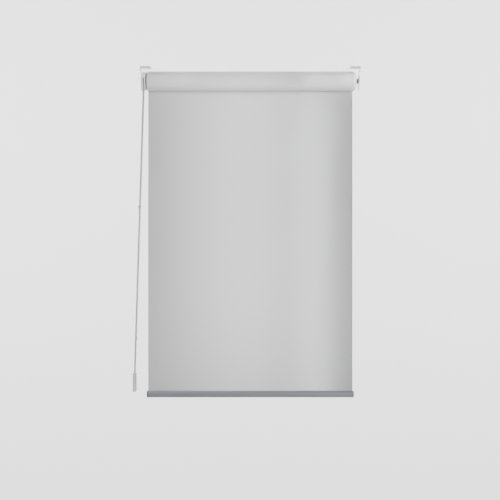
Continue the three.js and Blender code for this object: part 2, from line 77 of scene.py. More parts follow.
class Span:
    """A CAD node's box at rest, in millimetres."""

    def __init__(self, node):
        low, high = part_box(node)
        self.x0, self.y0, self.z0 = (value / MM for value in low)
        self.x1, self.y1, self.z1 = (value / MM for value in high)
        self.y = (self.y0 + self.y1) / 2
        self.z = (self.z0 + self.z1) / 2


JOINTS = {joint["name"]: joint for joint in frame["joints"]}

# Places that come from the frame
AXIS_Z = JOINTS["roller_spin"]["pos_m"][2] / MM
PULLEY_X, _, PULLEY_Z = (value / MM for value in JOINTS["tensioner_pulley_spin"]["pos_m"])
TUBE = Span("roller_tube")
CLOTH_HALF = TUBE.x1
DROP = Span("fabric_drop")
CLOTH_Y = DROP.y
BAR = Span("bottom_bar")
BAR_CAP = Span("bar_cap_right")
BRACKET = Span("idle_bracket")
HOUSING = Span("control_housing")
SPINDLE = Span("control_spindle")
RIVET = Span("spindle_rivet")
CLIP = Span("spindle_clip")
WHEEL = Span("chain_wheel")
CROWN = Span("drive_crown")
PLUG = Span("idle_plug")
PIN = Span("idle_pin")
BUSH = Span("idle_bush")
SEAT = Span("spring_seat")
STOP = Span("chain_stop")
CONNECTOR = Span("chain_connector")
BASE = Span("tensioner_base")
COVER = Span("tensioner_cover")
AXLE = Span("tensioner_axle")
PULLEY = Span("tensioner_pulley")

# Sheet-metal brackets
PLATE = 1.6
STEP_IN = 2.2
STEP_TOP = -12
STEP_BOTTOM = -16
BRACKET_R = BRACKET.y1
PLATE_OUTER = BRACKET.x1 - STEP_IN
PLATE_INNER = PLATE_OUTER - PLATE
SLOT_X = 236
SLOT_Y = 12
SLOT_LENGTH = 10
SLOT_WIDTH = 4.6

# Control unit
HOUSING_R = 21.5
HOUSING_WALL = HOUSING.x1 - 2.4
LUG_PLACES = [(18.75 * side, AXIS_Z + 7.5) for side in (-1, 1)]
COLLAR_R = 10.1
CORE_BORE = 6.3
SLEEVE_BORE = 8.3

# Roller and cloth
TUBE_R = 20
TUBE_WALL = 1.2
GROOVE_HALF = 1.6
GROOVE_DEPTH = 3
CLOTH = 0.4
CUT_HALF = CLOTH_HALF - 0.6
ROLL_PITCH = 0.43
ROLL_TURNS = 4.25
RIBS = 8
BARREL_R = 15.5
RIB_R = 18.4
PIN_BORE = 3.25

# Bead chain
BEAD_R = 2.25
BEAD_PITCH = 6
CORD_R = 0.55
WHEEL_POCKETS = 12
PULLEY_POCKETS = 8
WHEEL_PITCH_R = WHEEL_POCKETS * BEAD_PITCH / TURN
PULLEY_PITCH_R = PULLEY_POCKETS * BEAD_PITCH / TURN
CHAIN_X = -244.2
DRIFT_START_Z = -52
DRIFT_END_Z = -696

# Bottom bar
BAR_ROUND = 1.4
BAR_SHOULDER = 3.6
BAR_GROOVE = (5.6, 4.3)
CHANNEL_R = 2.6
CHANNEL_Z = BAR.z1 - 4.6
MOUTH_HALF = 0.7
CHAMBER_Z = BAR.z1 - 10.9

# Chain tensioner
SCREW_Z = -709
TENSIONER_WALL = 1.4
HOLE_R = 2.2


# ----- mesh building, in millimetres


def rounded(points, edge, steps=4, closed=True):
    """An outline with each corner turned into an arc. A point may carry its own radius."""
    made = []
    count = len(points)
    for k, point in enumerate(points):
        here = Vector(point[:2])
        radius = point[2] if len(point) > 2 else edge
        ends = not closed and k in (0, count - 1)
        if radius <= 0 or ends:
            made.append(tuple(here))
            continue
        before = Vector(points[k - 1][:2]) - here
        after = Vector(points[(k + 1) % count][:2]) - here
        half = before.angle(after, math.pi) / 2
        if half > 0.49 * math.pi:
            made.append(tuple(here))
            continue
        back = min(radius / math.tan(half), 0.48 * before.length, 0.48 * after.length)
        start = here + before.normalized() * back
        end = here + after.normalized() * back
        for i in range(steps + 1):
            t = i / steps
            made.append(tuple(start * (1 - t) ** 2 + here * 2 * t * (1 - t) + end * t**2))
    return made


def lathe(profile, z=AXIS_Z, y=0.0, sides=96):
    """A closed profile of (x, radius) points turned about a line along X."""
    mesh = bmesh.new()
    rows = []
    for k in range(sides):
        angle = TURN * k / sides
        across, up = math.cos(angle), math.sin(angle)
        rows.append([mesh.verts.new((x, y + r * across, z + r * up)) for x, r in profile])
    join_rows(mesh, rows, closed_rows=True, closed_ring=True)
    return mesh


def join_rows(mesh, rows, closed_rows, closed_ring):
    """Quads between neighbouring rows of vertices."""
    row_steps = len(rows) if closed_rows else len(rows) - 1
    ring_steps = len(rows[0]) if closed_ring else len(rows[0]) - 1
    for k in range(row_steps):
        here, there = rows[k], rows[(k + 1) % len(rows)]
        for i in range(ring_steps):
            j = (i + 1) % len(here)
            mesh.faces.new((here[i], here[j], there[j], there[i]))


def prism(loops, axis, start, end):
    """An outline and its holes, filled and pulled along an axis from start to end."""
    at = "XYZ".index(axis)
    way = Vector([float(k == at) for k in range(3)])
    mesh = bmesh.new()
    edges = []
    for loop in loops:
        corners = [mesh.verts.new((*point[:at], start, *point[at:])) for point in loop]
        edges += [mesh.edges.new((corners[i - 1], corners[i])) for i in range(len(corners))]
    bmesh.ops.triangle_fill(mesh, use_beauty=True, edges=edges, normal=way)
    pulled = bmesh.ops.extrude_face_region(mesh, geom=list(mesh.faces), use_keep_orig=True)
    moved = [part for part in pulled["geom"] if isinstance(part, bmesh.types.BMVert)]
    bmesh.ops.translate(mesh, vec=way * (end - start), verts=moved)
    return mesh


def sweep(points, radius, sides, closed):
    """A round tube through the points, its section lined up with the X axis."""
    mesh = bmesh.new()
    across = Vector((1, 0, 0))
    count = len(points)
    rows = []
    for k, point in enumerate(points):
        last = points[k - 1] if closed or k > 0 else point
        following = points[(k + 1) % count] if closed or k < count - 1 else point
        along = (following - last).normalized()
        u = (across - along * across.dot(along)).normalized()
        v = along.cross(u)
        ring = []
        for i in range(sides):
            angle = TURN * i / sides
            outwards = u * math.cos(angle) + v * math.sin(angle)
            ring.append(mesh.verts.new(point + outwards * radius))
        rows.append(ring)
    join_rows(mesh, rows, closed_rows=closed, closed_ring=True)
    if not closed:
        mesh.faces.new(rows[0])
        mesh.faces.new(rows[-1])
    return mesh


def rectangle(u, v):
    """The corners of a rectangle between the two ends given for each axis."""
    return [(u[0], v[0]), (u[1], v[0]), (u[1], v[1]), (u[0], v[1])]


def block(x, y, z):
    """A box between the two ends given for each axis."""
    return prism([rectangle(x, y)], "Z", z[0], z[1])


def rod(x0, x1, radius, z=AXIS_Z, y=0.0, sides=48, edge=0.0):
    """A solid cylinder along X."""
    profile = rounded([(x0, 0, 0), (x0, radius), (x1, radius), (x1, 0, 0)], edge)
    return lathe(profile, z, y, sides)


def arc(radius, u, v, start, end, steps):
    """Points of an arc with both ends, angles in radians."""
    angles = [start + (end - start) * k / steps for k in range(steps + 1)]
    return [(u + radius * math.cos(a), v + radius * math.sin(a)) for a in angles]


def linked(name, mesh):
    """A Blender object from a bmesh in metres."""
    data = bpy.data.meshes.new(name)
    mesh.to_mesh(data)
    mesh.free()
    piece = bpy.data.objects.new(name, data)
    bpy.context.scene.collection.objects.link(piece)
    return piece


def object_from(name, mesh):
    """A Blender object, in metres, from a bmesh in millimetres."""
    bmesh.ops.remove_doubles(mesh, verts=mesh.verts, dist=1e-4)
    bmesh.ops.recalc_face_normals(mesh, faces=mesh.faces)
    bmesh.ops.scale(mesh, vec=(MM, MM, MM), verts=mesh.verts)
    return linked(name, mesh)


def turned(name, profile, edge, sides=64, steps=4):
    """A piece turned about the roller's axis from a profile with its corners rounded."""
    return object_from(name, lathe(rounded(profile, edge, steps), sides=sides))


def bake(piece):
    """The modifiers' result becomes the piece's own mesh."""
    graph = bpy.context.evaluated_depsgraph_get()
    data = bpy.data.meshes.new_from_object(piece.evaluated_get(graph))
    piece.modifiers.clear()
    piece.data = data


def combined(piece, operation, meshes):
    """Joins other shapes to the piece, cuts them from it or keeps only what is inside them."""
    tools = [object_from("tool", mesh) for mesh in meshes]
    for tool in tools:
        change = piece.modifiers.new("combine", "BOOLEAN")
        change.operation = operation
        change.solver = "EXACT"
        change.object = tool
        bake(piece)
    for tool in tools:
        bpy.data.objects.remove(tool)


def joined(piece, *meshes):
    combined(piece, "UNION", meshes)


def carved(piece, *meshes):
    combined(piece, "DIFFERENCE", meshes)


def kept_inside(piece, *meshes):
    combined(piece, "INTERSECT", meshes)


def softened(piece, width, segments=2):
    """Rounds the piece's sharp edges to a width in millimetres."""
    flat = bmesh.new()
    flat.from_mesh(piece.data)
    nearly_flat = math.radians(1)
    bmesh.ops.dissolve_limit(flat, angle_limit=nearly_flat, verts=flat.verts, edges=flat.edges)
    flat.to_mesh(piece.data)
    flat.free()
    bevel = piece.modifiers.new("soften", "BEVEL")
    bevel.width = width * MM
    bevel.segments = segments
    bevel.limit_method = "ANGLE"
    bevel.angle_limit = math.radians(38)
    bake(piece)


def mirrored(piece):
    """Turns the piece into its mirror image at the other end of the roller."""
    piece.data.transform(Matrix.Scale(-1, 4, (1, 0, 0)))
    piece.data.flip_normals()


def dressed(piece, body, look, node, crease=35):
    """Gives a piece its shading, look and body, and hides the CAD node that it stands for."""
    piece.data.shade_smooth()
    piece.data.set_sharp_from_angle(angle=math.radians(crease))
    piece.data.materials.clear()
    piece.data.materials.append(look)
    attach(piece, body)
    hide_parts(node)
    return piece


# ----- materials


class Look:
    """A Principled material with short ways to add procedural detail, in object space."""

    def __init__(self, name, color, roughness, **sockets):
        self.material = bpy.data.materials.new(name)
        self.material.use_nodes = True
        self.nodes = self.material.node_tree.nodes
        self.links = self.material.node_tree.links
        self.shader = self.nodes["Principled BSDF"]
        self.shader.inputs["Base Color"].default_value = (*color, 1)
        self.shader.inputs["Roughness"].default_value = roughness
        for socket, value in sockets.items():
            self.shader.inputs[socket.replace("_", " ")].default_value = value
        self.coordinates = self.add("ShaderNodeTexCoord").outputs["Object"]

    def add(self, kind, **settings):
        node = self.nodes.new(kind)
        for key, value in settings.items():
            setattr(node, key, value)
        return node

    def link(self, source, socket):
        if isinstance(source, (int, float)):
            socket.default_value = source
        else:
            self.links.new(source, socket)

    def stretched(self, scale):
        """Object coordinates multiplied by a number for each axis."""
        node = self.add("ShaderNodeMapping")
        node.inputs["Scale"].default_value = scale
        self.link(self.coordinates, node.inputs["Vector"])
        return node.outputs["Vector"]

    def noise(self, size, detail=2.0, vector=None, roughness=0.5):
        """Noise whose features are about size millimetres across."""
        node = self.add("ShaderNodeTexNoise")
        node.inputs["Scale"].default_value = 1 / (size * MM)
        node.inputs["Detail"].default_value = detail
        node.inputs["Roughness"].default_value = roughness
        self.link(vector or self.coordinates, node.inputs["Vector"])
        return node.outputs["Fac"]

    def math(self, operation, a, b=0.0):
        node = self.add("ShaderNodeMath", operation=operation)
        for value, socket in zip((a, b), node.inputs):
            self.link(value, socket)
        return node.outputs[0]

    def spread(self, value, low, high, start=0.3, end=0.7):
        """The value carried from start..end to low..high."""
        node = self.add("ShaderNodeMapRange")
        self.link(value, node.inputs["Value"])
        names = ("From Min", "From Max", "To Min", "To Max")
        for name, number in zip(names, (start, end, low, high)):
            node.inputs[name].default_value = number
        return node.outputs["Result"]

    def tint(self, amount, other):
        """The base colour mixed with another one by the amount."""
        node = self.add("ShaderNodeMix", data_type="RGBA")
        before = self.shader.inputs["Base Color"]
        if before.is_linked:
            self.link(before.links[0].from_socket, node.inputs["A"])
        else:
            node.inputs["A"].default_value = before.default_value
        node.inputs["B"].default_value = (*other, 1)
        self.link(amount, node.inputs["Factor"])
        self.link(node.outputs["Result"], before)

    def rough(self, value):
        self.link(value, self.shader.inputs["Roughness"])

    def bump(self, height, distance):
        """Relief of the height times a distance in millimetres, on top of any earlier relief."""
        node = self.add("ShaderNodeBump")
        node.inputs["Strength"].default_value = 1
        node.inputs["Distance"].default_value = distance * MM
        normal = self.shader.inputs["Normal"]
        if normal.is_linked:
            self.link(normal.links[0].from_socket, node.inputs["Normal"])
        self.link(height, node.inputs["Height"])
        self.link(node.outputs["Normal"], normal)

    def uneven(self, patches, other, shine, grain):
        """Patches (size, detail, amount), shine (size, low, high) and grain (size, depth)."""
        size, detail, amount = patches
        self.tint(self.spread(self.noise(size, detail), 0, amount), other)
        size, low, high = shine
        self.rough(self.spread(self.noise(size, 3), low, high))
        size, depth = grain
        self.bump(self.noise(size, 2), depth)

    def edge_wear(self, other, amount):
        """Rubbed or dusty edges, from how sharply the surface turns."""
        geometry = self.add("ShaderNodeNewGeometry")
        worn = self.spread(geometry.outputs["Pointiness"], 0, amount, 0.53, 0.6)
        broken = self.math("MULTIPLY", worn, self.spread(self.noise(1.5, 3), 0.2, 1))
        self.tint(broken, other)


def painted_steel():
    """White powder coat with orange peel, slightly thin on the edges."""
    look = Look("white_powder_coat", (0.85, 0.845, 0.825), 0.42, Specular_IOR_Level=0.5)
    look.uneven((9, 3, 0.12), (0.72, 0.715, 0.69), (3, 0.36, 0.52), (0.9, 0.05))
    look.edge_wear((0.55, 0.54, 0.52), 0.5)
    return look.material


def moulded_white():
    """White injection-moulded plastic with a fine spark-eroded grain."""
    look = Look("white_moulded_plastic", (0.88, 0.875, 0.86), 0.4, Subsurface_Weight=0.08)
    look.shader.inputs["Subsurface Radius"].default_value = (0.8 * MM, 0.7 * MM, 0.6 * MM)
    look.uneven((7, 2, 0.1), (0.80, 0.79, 0.76), (2, 0.33, 0.5), (0.25, 0.012))
    return look.material


def dark_plastic(name, roughness, patches, shine, grain):
    """Dark grey moulded plastic with faint darker patches."""
    look = Look(name, (0.06, 0.061, 0.063), roughness)
    look.uneven(patches, (0.045, 0.046, 0.048), shine, grain)
    return look.material


def extruded_aluminium(name, color, roughness):
    """Extruded aluminium, with die lines along its length."""
    look = Look(name, color, roughness, Metallic=1.0)
    lines = look.noise(0.5, 3, look.stretched((0.004, 1, 1)), 0.6)
    broad = look.noise(2.5, 2, look.stretched((0.01, 1, 1)))
    look.tint(look.spread(broad, 0, 0.35), tuple(c * 0.8 for c in color))
    look.rough(look.spread(lines, roughness - 0.06, roughness + 0.12))
    look.bump(lines, 0.012)
    return look.material


def bright_steel():
    """Plain bright steel of the springs and pins."""
    look = Look("bright_steel", (0.56, 0.56, 0.55), 0.25, Metallic=1.0)
    look.uneven((3, 3, 0.4), (0.42, 0.41, 0.40), (1, 0.2, 0.4), (0.15, 0.006))
    return look.material


def chain_plastic(name, color, other):
    """Moulded acetal of the chain, a little uneven in tone from bead to bead."""
    look = Look(name, color, 0.3, Subsurface_Weight=0.1)
    look.shader.inputs["Subsurface Radius"].default_value = (0.9 * MM, 0.7 * MM, 0.5 * MM)
    look.uneven((6, 2, 0.5), other, (1.5, 0.25, 0.42), (0.4, 0.01))
    return look.material


def braided_cord():
    """Twisted polyester cord."""
    look = Look("polyester_cord", (0.52, 0.50, 0.46), 0.8, Sheen_Weight=0.3)
    wave = look.add("ShaderNodeTexWave", wave_type="BANDS", bands_direction="DIAGONAL")
    wave.inputs["Scale"].default_value = 1 / (2.2 * MM)
    look.link(look.coordinates, wave.inputs["Vector"])
    look.bump(wave.outputs["Fac"], 0.06)
    look.tint(look.spread(look.noise(3, 2), 0, 0.3), (0.42, 0.40, 0.36))
    return look.material


def woven_cloth():
    """Plain-weave polyester with uneven threads, laid out by the map of the flat cut."""
    sheen = {"Sheen_Weight": 0.15, "Sheen_Roughness": 0.5}
    look = Look("woven_polyester", (0.60, 0.60, 0.595), 0.85, **sheen)
    place = look.add("ShaderNodeUVMap", uv_map="cut")
    look.coordinates = place.outputs["UV"]
    parts = look.add("ShaderNodeSeparateXYZ")
    look.link(look.coordinates, parts.inputs["Vector"])
    wave_length = 0.84  # millimetres, over one thread and under the next
    waves = TURN / (wave_length * MM)
    warp = look.math("SINE", look.math("MULTIPLY", parts.outputs["X"], waves))
    weft = look.math("SINE", look.math("MULTIPLY", parts.outputs["Y"], waves))
    over = look.math("MULTIPLY", warp, weft)
    warp_slub = look.noise(0.8, 2, look.stretched((1, 0.03, 1)), 0.6)
    weft_slub = look.noise(0.8, 2, look.stretched((0.03, 1, 1)), 0.6)
    slub = look.math("ADD", warp_slub, weft_slub)
    look.tint(look.spread(slub, 0, 0.16, 0.7, 1.3), (0.50, 0.50, 0.50))
    look.tint(look.spread(look.noise(60, 3), 0, 0.10), (0.56, 0.565, 0.575))
    look.tint(look.spread(over, 0, 0.12, -1, 1), (0.70, 0.70, 0.695))
    look.rough(look.spread(slub, 0.78, 0.92, 0.7, 1.3))
    look.bump(over, 0.035)
    look.bump(slub, 0.05)
    return look.material


def plain_backdrop():
    """Matt pale paint of the studio's floor and wall."""
    look = Look("pale_backdrop", (0.80, 0.80, 0.80), 0.9)
    look.rough(look.spread(look.noise(300, 2), 0.85, 0.95))
    return look.material


STEEL_PAINT = painted_steel()
WHITE_PLASTIC = moulded_white()
# Dark acetal whose darkness is partly painted shade: it also stands for the shade in the housing's
# slot and round the roll's ends.
DARK_PLASTIC_AND_SHADE = dark_plastic("dark_acetal_and_painted_shade", 0.45, (5, 3, 0.3), (2.5, 0.3, 0.6), (0.3, 0.015))
CAP_PLASTIC = dark_plastic("dark_cap_plastic", 0.5, (4, 2, 0.25), (2, 0.42, 0.6), (0.25, 0.015))
BAR_METAL = extruded_aluminium("anodised_bar", (0.42, 0.435, 0.465), 0.36)
TUBE_METAL = extruded_aluminium("mill_tube", (0.62, 0.625, 0.63), 0.3)
STEEL = bright_steel()
# Painted shade: the ivory beads are darkened to a mid grey-brown, as the chain looks in shade.
SHADED_BEAD_PLASTIC = chain_plastic("bead_plastic_painted_shade", (0.50, 0.475, 0.44), (0.40, 0.37, 0.335))
CLIP_PLASTIC = chain_plastic("clip_plastic", (0.76, 0.74, 0.70), (0.68, 0.65, 0.60))
CORD = braided_cord()
CLOTH_LOOK = woven_cloth()


# ----- brackets


def bracket_section():
    """The folded sheet seen along Y: a foot, a bend, and a plate that steps in on its way down."""
    neck = BRACKET.x1 - PLATE
    below = BRACKET.z0 - 4
    inner_lag = 0.3
    bend, inner_fold = 1.2, 0.7
    outer_fold = inner_fold + PLATE
    corners = [
        (BRACKET.x0, 0, 0),
        (BRACKET.x0, -PLATE, 0),
        (neck, -PLATE, inner_fold),
        (neck, STEP_TOP - inner_lag, bend),
        (PLATE_INNER, STEP_BOTTOM - inner_lag, bend),
        (PLATE_INNER, below, 0),
        (PLATE_OUTER, below, 0),
        (PLATE_OUTER, STEP_BOTTOM, bend),
        (BRACKET.x1, STEP_TOP, bend),
        (BRACKET.x1, 0, outer_fold),
    ]
    return rounded(corners, 0, 6)


def bracket(node, side, centre_cuts):
    """A bracket with a round lower end, slots in its foot and the cuts of its own end."""
    sheet = object_from(node + "_sheet", prism([bracket_section()], "Y", BRACKET.y0, BRACKET.y1))
    half, beyond, corner = BRACKET_R, 260, 3
    plate = arc(half, 0, AXIS_Z, math.pi, TURN, 48) + [(half, 1), (-half, 1)]
    foot = [(BRACKET.x0, -half), (beyond, -half, 0), (beyond, half, 0), (BRACKET.x0, half)]
    foot = rounded(foot, corner, 6)
    kept_inside(sheet, prism([plate], "X", 0, beyond), prism([foot], "Z", -60, 1))
    slots = []
    reach = (SLOT_LENGTH - SLOT_WIDTH) / 2
    for y in (-SLOT_Y, SLOT_Y):
        right = arc(SLOT_WIDTH / 2, SLOT_X + reach, y, -math.pi / 2, math.pi / 2, 12)
        left = arc(SLOT_WIDTH / 2, SLOT_X - reach, y, math.pi / 2, 1.5 * math.pi, 12)
        slots.append(prism([right + left], "Z", -5, 5))
    carved(sheet, *slots, *centre_cuts)
    softened(sheet, 0.22)
    if side < 0:
        mirrored(sheet)
    dressed(sheet, "frame", STEEL_PAINT, node)


def brackets():
    """The control end takes a square tenon and two lugs, the idle end a round bush."""
    through = (240, 255)
    half, lug_r, bush_r = 3.3, 1.5, 4.5
    square = block(through, (-half, half), (AXIS_Z - half, AXIS_Z + half))
    lug_holes = [rod(*through, lug_r, z, y) for y, z in LUG_PLACES]
    bush_hole = rod(*through, bush_r)
    bracket("control_bracket", -1, [square, *lug_holes])
    bracket("idle_bracket", 1, [bush_hole])


brackets()


# ----- control unit


def control_housing():
    """A disc and a rim round the chain, with a slot and a way out for the strand on each side."""
    wall, outer = HOUSING_WALL, GAP - PLATE_INNER
    into_wall = wall + 0.2
    hub, rim_bore, lug_r = 10.5, 18.9, 1.2
    disc = [(wall, hub), (wall, HOUSING_R), (HOUSING.x1, HOUSING_R, 0.9), (HOUSING.x1, hub)]
    housing = turned("control_housing_shell", disc, 0.3, 128)
    rim = [(outer, rim_bore), (outer, HOUSING_R), (into_wall, HOUSING_R), (into_wall, rim_bore)]
    lugs = [rod(HOUSING.x0, into_wall, lug_r, z, y, 24, 0.3) for y, z in LUG_PLACES]
    joined(housing, lathe(rounded(rim, 0.3), sides=128), *lugs)
    slot_wall = outer + 2.5
    slot_top, exit_top, below = AXIS_Z + 6, AXIS_Z - 8, AXIS_Z - 30
    inside, exit_end, beyond = 6, 14.8, 30
    for side in (-1, 1):
        slot = sorted((inside * side, beyond * side))
        way_out = sorted((inside * side, exit_end * side))
        carved(
            housing,
            block((slot_wall, wall), slot, (below, slot_top)),
            block((outer - 1, wall), way_out, (below, exit_top)),
        )
    softened(housing, 0.25)
    dressed(housing, "frame", WHITE_PLASTIC, "control_housing")


def control_spindle():
    """The fixed core: a square tenon, a groove for the clip and a bore for the rivet."""
    shoulder = GAP - PLATE_INNER
    core_r, groove_r, rivet_bore, half_tenon = 6, 4.9, 2, 3
    rivet_end = -236
    profile = [
        (shoulder, 0, 0),
        (shoulder, core_r),
        (CLIP.x0 - GAP, core_r),
        (CLIP.x0 - GAP, groove_r, 0.1),
        (CLIP.x1 + GAP, groove_r, 0.1),
        (CLIP.x1 + GAP, core_r),
        (SPINDLE.x1, core_r, 0.8),
        (SPINDLE.x1, 0, 0),
    ]
    spindle = turned("control_spindle_core", profile, 0.3, 96)
    across, up = (-half_tenon, half_tenon), (AXIS_Z - half_tenon, AXIS_Z + half_tenon)
    joined(spindle, block((SPINDLE.x0, shoulder + 1), across, up))
    carved(spindle, rod(SPINDLE.x0 - 1, rivet_end, rivet_bore))
    softened(spindle, 0.2)
    dressed(spindle, "frame", DARK_PLASTIC_AND_SHADE, "control_spindle")


def spindle_rivet():
    """A domed head outside the bracket, and a shank with a hollow end."""
    head, end = RIVET.x0, RIVET.x1
    under_head = -PLATE_OUTER - GAP
    shank_r, hollow_floor = 1.7, end - 3
    profile = [
        (head, 0, 0),
        (head, 4.4, 1.2),
        (under_head, 5.4, 0.3),
        (under_head, shank_r, 0.2),
        (end, shank_r, 0.4),
        (end, 1.0, 0.2),
        (hollow_floor, 0.9, 0.2),
        (hollow_floor, 0, 0),
    ]
    rivet = turned("spindle_rivet_body", profile, 0.2)
    dressed(rivet, "frame", STEEL, "spindle_rivet")


def spindle_clip():
    """A stamped E-clip: a ring with an open quarter and three inner prongs."""
    outer_r, inner_r, prong_r = 8.6, 6.6, 5.2
    steps, prongs, prong_half = 60, (3, 30, 57), 4
    outline = arc(outer_r, 0, AXIS_Z, 1.75 * math.pi, 3.25 * math.pi, steps)
    inner = []
    for k in range(steps + 1):
        angle = (3.25 - 1.5 * k / steps) * math.pi
        on_prong = min(abs(k - middle) for middle in prongs) < prong_half
        radius = prong_r if on_prong else inner_r
        inner.append((radius * math.cos(angle), AXIS_Z + radius * math.sin(angle)))
    clip = object_from("spindle_clip_ring", prism([outline + inner], "X", CLIP.x0, CLIP.x1))
    softened(clip, 0.12, 1)
    dressed(clip, "frame", STEEL, "spindle_clip")


def pocketed_rim(x0, x1, bead_x, z, pockets, bore, tooth_r, phase):
    """A wheel whose rim has a round pocket for each bead of the chain."""
    mesh = bmesh.new()
    pitch_r = pockets * BEAD_PITCH / TURN
    steps_per_pocket, lanes = 20, 16
    steps = pockets * steps_per_pocket
    pocket_r = BEAD_R + 0.12
    rows = []
    for k in range(steps):
        angle = TURN * k / steps
        passed = (angle - phase) * pockets / TURN
        off = (passed - round(passed)) * TURN / pockets
        ring = []
        for i in range(lanes + 1):
            x = x0 + (x1 - x0) * i / lanes
            room = pocket_r**2 - (pitch_r * math.sin(off)) ** 2 - (x - bead_x) ** 2
            radius = tooth_r
            if room > 0:
                radius = min(tooth_r, pitch_r * math.cos(off) - math.sqrt(room))
            ring.append((x, radius))
        ring += [(x1, bore), (x0, bore)]
        across, up = math.cos(angle), math.sin(angle)
        rows.append([mesh.verts.new((x, r * across, z + r * up)) for x, r in ring])
    join_rows(mesh, rows, closed_rows=True, closed_ring=True)
    return mesh


def chain_wheel():
    """The pocketed rim, a collar through the housing and a part sleeve over the brake springs."""
    rim_end = HOUSING_WALL - GAP
    start, end = HOUSING_WALL - 0.6, -238.3
    sleeve_start = -239
    first, last = -math.pi / 3, math.pi / 2
    place = (WHEEL.x0, rim_end, CHAIN_X, AXIS_Z)
    rim = pocketed_rim(*place, WHEEL_POCKETS, CORE_BORE, tooth_r=10.6, phase=math.pi / 2)
    wheel = object_from("chain_wheel_pockets", rim)
    collar = [(start, CORE_BORE), (start, COLLAR_R), (end, COLLAR_R), (end, CORE_BORE)]
    sleeve = arc(COLLAR_R, 0, AXIS_Z, first, last, 40)
    sleeve += arc(SLEEVE_BORE, 0, AXIS_Z, last, first, 40)
    joined(wheel, lathe(rounded(collar, 0.25)), prism([sleeve], "X", sleeve_start, WHEEL.x1))
    # The wheel is given the dark plastic as painted shade, so the housing's slot reads dark.
    dressed(wheel, "roller", DARK_PLASTIC_AND_SHADE, "chain_wheel")


def coil(name, node, turns, wire_r):
    """A compression or wrap spring with its end turns closed up."""
    span = Span(node)
    radius = (span.y1 - span.y0) / 2 - wire_r
    start, length = span.x0 + wire_r, span.x1 - span.x0 - 2 * wire_r
    closed_turn = 2.05 * wire_r
    climb = (length - 2 * closed_turn) / (turns - 2)
    points = []
    steps_per_turn = 36
    steps = turns * steps_per_turn
    for k in range(steps + 1):
        turn = turns * k / steps
        if turn < 1:
            x = closed_turn * turn
        elif turn > turns - 1:
            x = length - closed_turn * (turns - turn)
        else:
            x = closed_turn + climb * (turn - 1)
        across, up = math.cos(TURN * turn), math.sin(TURN * turn)
        points.append(Vector((start + x, radius * across, AXIS_Z + radius * up)))
    spring = object_from(name, sweep(points, wire_r, 12, False))
    return dressed(spring, "roller", STEEL, node)


def ribs(x0, x1):
    """Ribs that centre a plug in the tube, clear of the tube's groove."""
    root, half = BARREL_R - 1, 1
    outline = rounded([(root, -half, 0), (RIB_R, -half), (RIB_R, half), (root, half, 0)], 0.5)
    made = []
    for k in range(RIBS):
        angle = TURN * (k + 0.5) / RIBS
        c, s = math.cos(angle), math.sin(angle)
        section = [(u * c - v * s, AXIS_Z + u * s + v * c) for u, v in outline]
        made.append(prism([section], "X", x0, x1))
    return made


def drive_crown():
    """The drum inside the tube, with the dog that the chain wheel's sleeve pushes round."""
    bore, flange_r = 10.4, 19.4
    face = -CLOTH_HALF - GAP
    web = CROWN.x1 - 2.5
    profile = [
        (CROWN.x0, bore),
        (CROWN.x0, flange_r, 0.4),
        (face, flange_r, 0.4),
        (face, BARREL_R, 0.1),
        (CROWN.x1, BARREL_R, 0.8),
        (CROWN.x1, CORE_BORE, 0.3),
        (web, CORE_BORE, 0.3),
        (web, bore, 0.1),
    ]
    crown = turned("drive_crown_drum", profile, 0.2, 128)
    dog_start, dog_end = -235, -214
    first, last = 0.9 * math.pi, 1.15 * math.pi
    dog = arc(bore + 0.4, 0, AXIS_Z, first, last, 12) + arc(SLEEVE_BORE, 0, AXIS_Z, last, first, 12)
    joined(crown, prism([dog], "X", dog_start, dog_end), *ribs(face - 0.5, CROWN.x1 - 1))
    # The dark plastic is partly the crown's own colour and partly painted shade in the gap beside
    # the roll's end.
    dressed(crown, "roller", DARK_PLASTIC_AND_SHADE, "drive_crown")


control_housing()
control_spindle()
spindle_rivet()
spindle_clip()
chain_wheel()
coil("brake_coil_outer", "brake_spring_outer", 5, 0.6)
coil("brake_coil_inner", "brake_spring_inner", 5, 0.6)
drive_crown()


# ----- roller tube and idle end


def roller_tube():
    """The tube's section, with a groove at the top that the cloth's upper edge is locked in."""
    inner = TUBE_R - TUBE_WALL
    lip = math.asin(GROOVE_HALF / TUBE_R)
    walled = GROOVE_HALF + TUBE_WALL
    inner_lip = math.asin(walled / inner)
    top = math.pi / 2
    bottom = AXIS_Z + TUBE_R - GROOVE_DEPTH
    outside = arc(TUBE_R, 0, AXIS_Z, top + lip, top + TURN - lip, 160)
    floor = [(GROOVE_HALF, bottom, 0.3), (-GROOVE_HALF, bottom, 0.3)]
    outside += rounded([outside[-1], *floor, outside[0]], 0, 4, False)[1:-1]
    inside = arc(inner, 0, AXIS_Z, top + inner_lip, top + TURN - inner_lip, 160)
    low = bottom - TUBE_WALL
    under_floor = [(walled, low, 0.6), (-walled, low, 0.6)]
    inside += rounded([inside[-1], *under_floor, inside[0]], 0, 4, False)[1:-1]
    tube = object_from("roller_tube_section", prism([outside, inside], "X", TUBE.x0, TUBE.x1))
    dressed(tube, "roller", TUBE_METAL, "roller_tube")


def idle_plug():
    """The ribbed plug with its domed flange and the chamber of the pin's spring."""
    face = CLOTH_HALF + GAP
    flange_r, chamber_r = TUBE_R + 0.2, 5.2
    chamber_end = 229.4
    profile = [
        (PLUG.x0, chamber_r, 0.3),
        (PLUG.x0, BARREL_R, 0.6),
        (face, BARREL_R, 0.1),
        (face, flange_r, 0.5),
        (face + 2.6, flange_r, 0.9),
        (PLUG.x1 - 2.6, 17.9, 1.5),
        (PLUG.x1 - 1, 12.8, 3.0),
        (PLUG.x1 - 0.2, 7.5, 2.0),
        (PLUG.x1, 5.6, 0.3),
        (PLUG.x1, PIN_BORE, 0.2),
        (chamber_end, PIN_BORE, 0.1),
        (chamber_end, chamber_r, 0.1),
    ]
    plug = turned("idle_plug_body", profile, 0.2, 128, 6)
    joined(plug, *ribs(PLUG.x0 + 1, face + 0.5))
    dressed(plug, "roller", WHITE_PLASTIC, "idle_plug")


